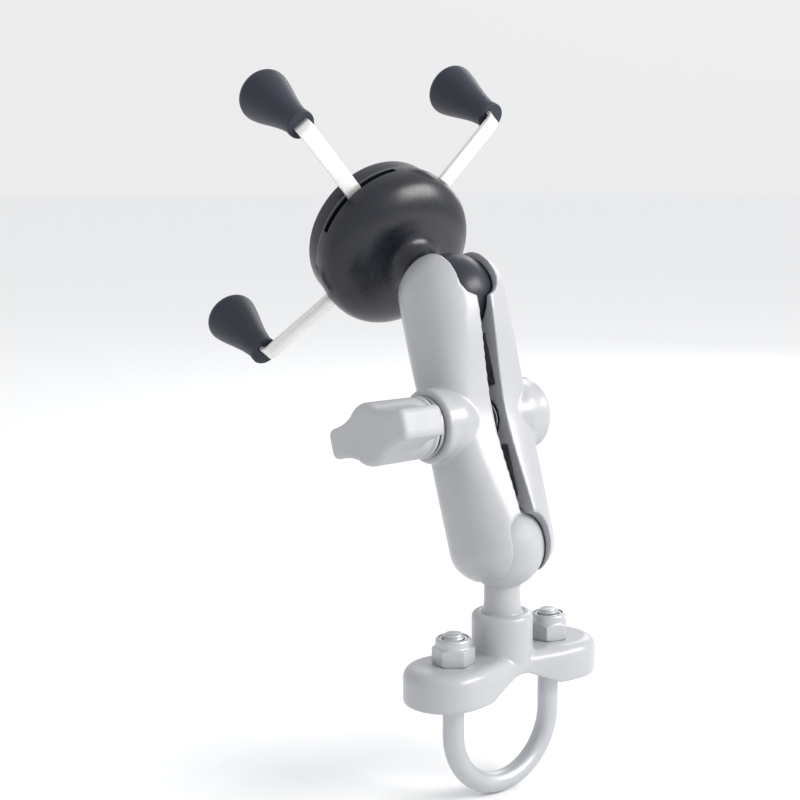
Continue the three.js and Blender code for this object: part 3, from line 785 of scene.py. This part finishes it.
def clamp_bolt():
    """Hexagon head with a dished top, and its shank."""
    top = FAR_BOSS - 0.4
    low = FAR_BOSS - HEAD_HEIGHT
    corner = HEAD_FLATS / math.sqrt(3)
    cone = lathe([
        (0, low - 0.1),
        (corner + 0.1, low - 0.1),
        (corner + 0.1, top - 0.8),
        (corner - 1.2, top - 0.05),
        (0, top - 0.05),
    ])
    dish = lathe([(0, top - 0.35), (3.4, top - 0.35), (4.1, top + 1), (0, top + 1)])
    shank = lathe(fillet([
        (0, -SHANK_END, 0),
        (SHANK, -SHANK_END, 0.5),
        (SHANK, low + 0.4, 0),
        (0, low + 0.4, 0),
    ]))
    obj = make_object("bolt", *hexagon(HEAD_FLATS, low, top))
    combine(obj, "INTERSECT", cone)
    combine(obj, "DIFFERENCE", dish)
    combine(obj, "UNION", shank)
    return soften(obj, voxel=0.2, passes=2)


def knob_half(y):
    """Half thickness of the knob's wings at y, swelling round the stem."""
    return WING_HALF + WING_BULGE * math.exp(-((y / BULGE_REACH) ** 2))


def knob_outline(inset, z):
    """Both wings seen along the bolt."""
    straight = WING_REACH - WING_CORNER
    flat = knob_half(straight) - WING_CORNER
    steps = [straight * (2 * i / 40 - 1) for i in range(41)]
    side = [Vector((knob_half(y), y)) for y in steps]
    angles = [(i + 1) / 8 * math.pi / 2 for i in range(8)]
    corner = [
        Vector((flat + WING_CORNER * math.cos(a), straight + WING_CORNER * math.sin(a)))
        for a in angles
    ]
    half = [*side, *corner, *[Vector((-p.x, p.y)) for p in reversed(corner)]]
    return inset_ring([*half, *[-p for p in half]], inset, z)


def knob_body():
    """Moulded wing knob on a round stem with a groove near its face."""
    r = KNOB_STEM
    stem = lathe([
        (0, -KNOB_FACE),
        (r - 0.6, -KNOB_FACE),
        (r, -KNOB_FACE - 0.6),
        (r, -KNOB_FACE - 1.5),
        (r - 0.7, -KNOB_FACE - 1.8),
        (r - 0.7, -KNOB_FACE - 2.4),
        (r - 0.1, -KNOB_FACE - 2.8),
        (r, -KNOB_END + 2),
        *arc(r - 2, -KNOB_END + 2, 2, 0, -90, 8),
        (0, -KNOB_END),
    ])
    lower = edge_rings(knob_outline, WING_EDGE, -KNOB_END, -1, 6)[::-1]
    upper = edge_rings(knob_outline, WING_EDGE, -KNOB_END + WING_DEPTH, 1, 6)
    obj = make_object("knob", *skin(lower + upper))
    combine(obj, "UNION", stem)
    bore = cylinder(SHANK + GAP, -SHANK_END - 2, 0)
    combine(obj, "DIFFERENCE", bore, hexagon(INSERT_FLATS, -INSERT_END, 0))
    return soften(obj, voxel=0.3, passes=5)


def knob_washer():
    low, high = -KNOB_FACE + GAP, -NEAR_BOSS - GAP
    return make_object("washer", *lathe(fillet([
        (SHANK + GAP, low, 0),
        (KNOB_STEM, low, 0.3),
        (KNOB_STEM, high, 0.3),
        (SHANK + GAP, high, 0),
    ])))


def arm_spring():
    return make_object("spring", *helix(SPRING_RADIUS, SPRING_HALF, SPRING_TURNS, SPRING_WIRE))


def build_arm():
    add_piece(arm_half(-1), "arm_half_near_cast", ARM, "arm", "arm_half_near", "cast_grey")
    add_piece(arm_half(1), "arm_half_far_cast", ARM, "far_half", "arm_half_far", "cast_grey")
    add_piece(clamp_bolt(), "clamp_bolt_plated", BOLT, "far_half", "clamp_bolt", "bolt_steel")
    add_piece(arm_spring(), "arm_spring_coil", BOLT, "arm", "arm_spring", "spring_steel", 60)
    add_piece(knob_washer(), "knob_washer_ring", BOLT, "arm", "knob_washer", "spring_steel", 40)
    add_piece(knob_body(), "knob_body_moulded", BOLT, "knob", "knob_body", "knob_grey")


# ---- holder ----
DOME = [(NECK_RADIUS, NECK_Z), (NECK_RADIUS, 15.5), (6.5, 17.6), (7.4, 19.6), (9.2, 21.1), (12.5, 22),
        (16, 22.8), (19.4, 24.1), (22.4, 26), (24.6, 28.2), (25.7, 30.6), (HUB_RADIUS, 33)]
DOME_FLOOR = 25.3
DOME_INSIDE = [(23.4, 33), (22.8, 30.8), (21.4, 28.8), (19.2, 27.2), (15.6, 25.9), (11, DOME_FLOOR)]
HEAD_SEAT = 42.9
SCREW_RADIUS, SCREW_HEAD_RADIUS = 1.5, 2.8


def hub_back_cover():
    """Dome with a flared neck, its rim cut by two windows for each bar."""
    shell = lathe([
        *spline(DOME),
        (RIM_RADIUS + 0.35, RIM_Z - 1.2),
        (RIM_RADIUS + 0.15, RIM_Z - 0.4),
        (RIM_RADIUS - 0.3, RIM_Z),
        (22.9, RIM_Z),
        *spline(DOME_INSIDE, 4),
        (STUD_RADIUS + GAP, DOME_FLOOR),
        (STUD_RADIUS + GAP, NECK_Z),
    ], 192)
    bar = GRIP_THICK + 1.5 * GAP
    past = HUB_RADIUS + 4
    windows = []
    for half in (0, 180):
        for start, end, low, high in (
            (WINDOW_START, WINDOW_END, HUB_PLANE - bar, HUB_PLANE + GAP / 2),
            (-WINDOW_END, -WINDOW_START, HUB_PLANE - GAP / 2, RIM_Z + 1),
        ):
            windows.append(sector(WINDOW_FLOOR, past, half + start, half + end, low, high))
    obj = make_object("back", *shell)
    return combine(obj, "DIFFERENCE", *windows)


def screw_spots():
    angles = [i * math.pi / 2 for i in range(4)]
    return [(SCREW_RING * math.sin(angle), SCREW_RING * math.cos(angle)) for angle in angles]


def stepped_hole(bore, head, step, flare, segments):
    """Cutting tool for a hole through the front cover with room for a head and a broken edge."""
    low, high = RIM_Z - 2, FRONT_Z + 5.6
    return lathe([
        (0, low),
        (bore, low),
        (bore, step),
        (head, step),
        (head, flare),
        (head + 0.4, FRONT_Z + 0.2),
        (head + 0.4, high),
        (0, high),
    ], segments)


def hub_front_cover():
    """Disc with a fine ring groove, holes for the pin and the screws, and room for the torsion spring."""
    low = RIM_Z + GAP
    room_radius, room_depth = 15.6, 2.9
    disc = lathe(fillet([
        (0, low, 0),
        (FRONT_RADIUS + 0.3, low, 0.3),
        (FRONT_RADIUS, FRONT_Z, 1.2),
        (16.6, FRONT_Z, 0.2),
        (16.3, FRONT_Z - 0.5, 0.15),
        (15.5, FRONT_Z - 0.5, 0.15),
        (15.2, FRONT_Z, 0.2),
        (0, FRONT_Z, 0),
    ]), 160)
    room = cylinder(room_radius, low - 1, low + room_depth)
    pin = stepped_hole(PIN_RADIUS + GAP, 5.8, HEAD_SEAT - GAP, FRONT_Z - 0.4, 96)
    screw = stepped_hole(SCREW_RADIUS + GAP, SCREW_HEAD_RADIUS + GAP, HEAD_SEAT - GAP, FRONT_Z - 0.3, 48)
    screws = [moved(screw, shift(x, y, 0)) for x, y in screw_spots()]
    obj = make_object("front", *disc)
    return combine(obj, "DIFFERENCE", room, pin, *screws)


def cover_screw():
    """Pan head with a cross recess and a pointed shank."""
    top = FRONT_Z - 0.3
    low = 31.6
    shape = lathe(fillet([
        (0, low, 0),
        (1, low, 0),
        (SCREW_RADIUS, low + 0.8, 0.1),
        (SCREW_RADIUS, HEAD_SEAT, 0),
        (SCREW_HEAD_RADIUS, HEAD_SEAT, 0.1),
        (SCREW_HEAD_RADIUS, top - 0.35, 0.5),
        (1.6, top, 0.4),
        (0, top, 0),
    ]), 48)
    slot = block(-1.6, 1.6, -0.34, 0.34, top - 0.8, top + 1)
    obj = make_object("screw", *shape)
    return combine(obj, "DIFFERENCE", *[moved(slot, turn(angle, "Z")) for angle in (0, 90)])


def pivot_pin():
    """Rivet with a flat head behind the bars and a dished head in the front cover."""
    r = PIN_RADIUS
    low = 32.2
    return make_object("pin", *lathe(fillet([
        (0, low, 0),
        (4.2, low, 0),
        (4.6, low + 0.4, 0.2),
        (4.6, low + 1.9, 0.2),
        (r, low + 1.9, 0),
        (r, HEAD_SEAT, 0),
        (5.5, HEAD_SEAT, 0.2),
        (5.5, 43.6, 0.4),
        (3.6, 44.2, 0.8),
        (1.6, 44.2, 0.2),
        (1.1, 43.7, 0.2),
        (0, 43.7, 0),
    ])))


def strip_path(level):
    """Middle line (x, z) of a bar from its middle to one bent end."""
    end = GRIP_REACH - GRIP_THICK / 2
    knee = Vector((GRIP_KNEE, level))
    foot = Vector((end - GRIP_BEND, GRIP_FOOT_Z))
    slope = (foot - knee).normalized()
    line = [
        Vector((0, level)),
        Vector((GRIP_KNEE - 1.5, level)),
        knee - Vector((0.5, 0)),
        knee + slope * 0.6,
        knee + slope * 1.8,
        foot - slope * 0.8,
    ]
    angles = [math.pi / 2 * i / 10 for i in range(11)]
    corner = [foot + GRIP_BEND * Vector((math.sin(a), 1 - math.cos(a))) for a in angles]
    return [*line, *corner, Vector((end, GRIP_LEG_TOP - 0.4)), Vector((end, GRIP_LEG_TOP))]


def strip_section():
    """Cross-section (width, thickness) of a bar with rounded edges."""
    w, t, r = GRIP_WIDTH / 2 - GRIP_EDGE, GRIP_THICK / 2 - GRIP_EDGE, GRIP_EDGE
    section = []
    for centre_w, centre_t, start in ((w, t, 0), (-w, t, 90), (-w, -t, 180), (w, -t, 270)):
        for k in range(4):
            angle = math.radians(start + 30 * k)
            section.append((centre_w + r * math.cos(angle), centre_t + r * math.sin(angle)))
    return section


def grip_bar(level):
    """Flat strip across the hub with both ends bent forward and an eye for the pivot."""
    right = strip_path(level)
    line = [Vector((-p.x, p.y)) for p in reversed(right[1:])] + right
    section = strip_section()
    rings = []
    for i, p in enumerate(line):
        before = (p - line[i - 1]).normalized() if i else None
        after = (line[i + 1] - p).normalized() if i + 1 < len(line) else None
        along = ((before or after) + (after or before)).normalized()
        lean = abs(along.dot(after or before))
        normal = Vector((-along.y, along.x)) / lean
        shrink = 0.86 if before is None or after is None else 1
        rings.append([
            (p.x + normal.x * t * shrink, w * shrink, p.y + normal.y * t * shrink)
            for w, t in section
        ])
    half = GRIP_THICK / 2
    eye = lathe(fillet([
        (0, level - half, 0),
        (GRIP_EYE, level - half, 0.3),
        (GRIP_EYE, level + half, 0.3),
        (0, level + half, 0),
    ]))
    obj = make_object("bar", *skin(rings))
    combine(obj, "UNION", eye)
    return combine(obj, "DIFFERENCE", cylinder(PIN_RADIUS + GAP, 0, PAST))


def grip_tip():
    """Rubber finger: round collar, waist and a trumpet mouth with a dished face."""
    waist, waist_z = 4.2, 2.15
    mouth, mouth_z = 7.5, 24.4
    collar = fillet([(0, 0, 0), (4.5, 0, 0.45), (4.5, 1.8, 0.4), (waist, waist_z, 0)])
    flank = spline([(waist, waist_z), (4.3, 3), (4.47, 4.6), (5, 8), (5.8, 11.5), (6.7, 15),
                    (7.5, 18), (8.1, 20.6), (8.4, 22.3), (8.25, 23.5), (mouth, mouth_z)], 5)
    face = spline([(mouth, mouth_z), (6.2, 24.95), (4.6, 25.15), (2.4, 25.05), (0, 24.95)], 4)
    thick, wide = GRIP_THICK / 2 + GAP, GRIP_WIDTH / 2 + GAP
    hole = block(-thick, thick, -wide, wide, -1, GRIP_LEG_TOP - TIP_START + GAP)
    obj = make_object("tip", *lathe([*collar[:-1], *flank, *face[1:]]))
    return combine(obj, "DIFFERENCE", hole)


def build_grips():
    offset = GRIP_THICK / 2 + GAP / 2
    bars = (
        ("a", 1, HUB_PLANE - offset, ("tip_upper_near", "tip_lower_far")),
        ("b", -1, HUB_PLANE + offset, ("tip_upper_far", "tip_lower_near")),
    )
    for label, side, level, tips in bars:
        place = HOLDER @ turn(90 - side * GRIP_ANGLE, "Z")
        body = f"bar_{label}"
        node = f"grip_bar_{label}"
        add_piece(grip_bar(level), f"{node}_strip", place, body, node, "bright_steel", 40)
        for end, tip in zip((1, -1), tips):
            seat = place @ shift(end * (GRIP_REACH - GRIP_THICK / 2), 0, TIP_START)
            add_piece(grip_tip(), f"{tip}_rubber", seat, body, tip, "tip_rubber", 40)


def build_holder():
    ball = rubber_ball(NECK_RADIUS)
    ball_place = HOLDER @ turn(180, "X")
    add_piece(ball, "holder_ball_rubber", ball_place, "holder_ball", "holder_ball", "ball_rubber", 40)
    add_piece(hub_back_cover(), "hub_back_dome", HOLDER, "hub", "hub_back_cover", "black_plastic", 38)
    add_piece(hub_front_cover(), "hub_front_disc", HOLDER, "hub", "hub_front_cover", "black_plastic", 12)
    for i, (x, y) in enumerate(screw_spots(), 1):
        node = f"cover_screw_{i}"
        add_piece(cover_screw(), f"{node}_head", HOLDER @ shift(x, y, 0), "hub", node, "spring_steel", 38)
    add_piece(pivot_pin(), "pivot_pin_rivet", HOLDER, "hub", "pivot_pin", "spring_steel", 38)
    build_grips()


def finish_cad_nodes():
    """The CAD pieces that stay hidden inside keep their shape and get the finish of their slot."""
    slots = {
        "knob_insert": "bolt_steel",
        "ball_stud": "bolt_steel",
        "stud_nut": "bolt_steel",
        "grip_spring": "spring_steel",
    }
    for node, slot in slots.items():
        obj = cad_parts[node]
        if not obj.material_slots:
            obj.data.materials.append(MATERIALS[slot])
        for place in obj.material_slots:
            place.material = MATERIALS[slot]


# ---- stage, lengths in metres ----
FLOOR_HALF = 12.0
FLOOR_COLOR = (0.90, 0.905, 0.91)
SKY_COLOR = (0.985, 0.99, 1.0)
SKY = 0.85
SKY_LIFT = 0.10
SKY_SIDE = 0.36
BRIGHT_SIDE = (0.75, -0.66, 0)
LIGHT_TARGET = (0, 0.03, 0.09)
CAMERA_PLACE = (-0.2998, -0.3215, 0.1631)
CAMERA_TILT, CAMERA_HEADING = 81.44, -41.36
LENS, SENSOR = 68.1, 36
SHIFT_X, SHIFT_Y = -0.0753, 0.0034


def build_floor():
    """Pale floor that touches the lowest point of the U-bolt."""
    z = (BEND_Z - LEG_X - ROD_RADIUS) * MM
    corners = [(-1, -1), (1, -1), (1, 1), (-1, 1)]
    verts = [(x * FLOOR_HALF, y * FLOOR_HALF, z) for x, y in corners]
    floor = make_object("studio_floor", verts, [(0, 1, 2, 3)])
    floor.data.materials.append(build_material(
        "studio_floor", FLOOR_COLOR, roughness=0.8, grain=0.01, bump=0.0, mottle=0.01, specular=0.1,
    ))


def build_sky():
    """World light that is brighter overhead on one side and even along the horizon."""
    world = bpy.data.worlds.new("studio")
    world.use_nodes = True
    bpy.context.scene.world = world
    nodes, links = world.node_tree.nodes, world.node_tree.links
    background = nodes["Background"]
    background.inputs["Color"].default_value = (*SKY_COLOR, 1)
    direction = nodes.new("ShaderNodeTexCoord").outputs["Generated"]

    def along(axis):
        node = nodes.new("ShaderNodeVectorMath")
        node.operation = "DOT_PRODUCT"
        node.inputs[1].default_value = axis
        links.new(direction, node.inputs[0])
        return node.outputs["Value"]

    def times_plus(source, factor, offset):
        node = nodes.new("ShaderNodeMath")
        node.operation = "MULTIPLY_ADD"
        for value, socket in zip((source, factor, offset), node.inputs):
            if isinstance(value, float):
                socket.default_value = value
            else:
                links.new(value, socket)
        return node.outputs[0]

    lift = times_plus(along(BRIGHT_SIDE), SKY_SIDE, SKY_LIFT)
    links.new(times_plus(along((0, 0, 1)), lift, SKY), background.inputs["Strength"])


def area_light(name, place, size, power, color):
    """Rectangular softbox aimed at the middle of the part."""
    data = bpy.data.lights.new(name, "AREA")
    data.shape = "RECTANGLE"
    data.size, data.size_y = size
    data.energy = power
    data.color = color
    light = bpy.data.objects.new(name, data)
    light.location = place
    light.rotation_euler = (Vector(LIGHT_TARGET) - Vector(place)).to_track_quat("-Z", "Y").to_euler()
    bpy.context.scene.collection.objects.link(light)


def build_camera():
    data = bpy.data.cameras.new("camera")
    data.lens, data.sensor_width = LENS, SENSOR
    data.shift_x, data.shift_y = SHIFT_X, SHIFT_Y
    data.clip_start, data.clip_end = 0.01, 50
    camera = bpy.data.objects.new("camera", data)
    camera.location = CAMERA_PLACE
    camera.rotation_euler = Euler((math.radians(CAMERA_TILT), 0, math.radians(CAMERA_HEADING)))
    bpy.context.scene.collection.objects.link(camera)
    bpy.context.scene.camera = camera


bpy.context.scene.view_settings.view_transform = "Standard"
build_camera()
build_floor()
build_sky()
area_light("key_softbox", (0.50, -0.80, 0.60), (0.80, 0.38), 10.5, (1, 0.985, 0.96))
area_light("rim_softbox", (0.85, 0.45, 0.55), (0.4, 0.6), 1.6, (0.97, 0.985, 1))
build_base()
build_arm()
build_holder()
finish_cad_nodes()
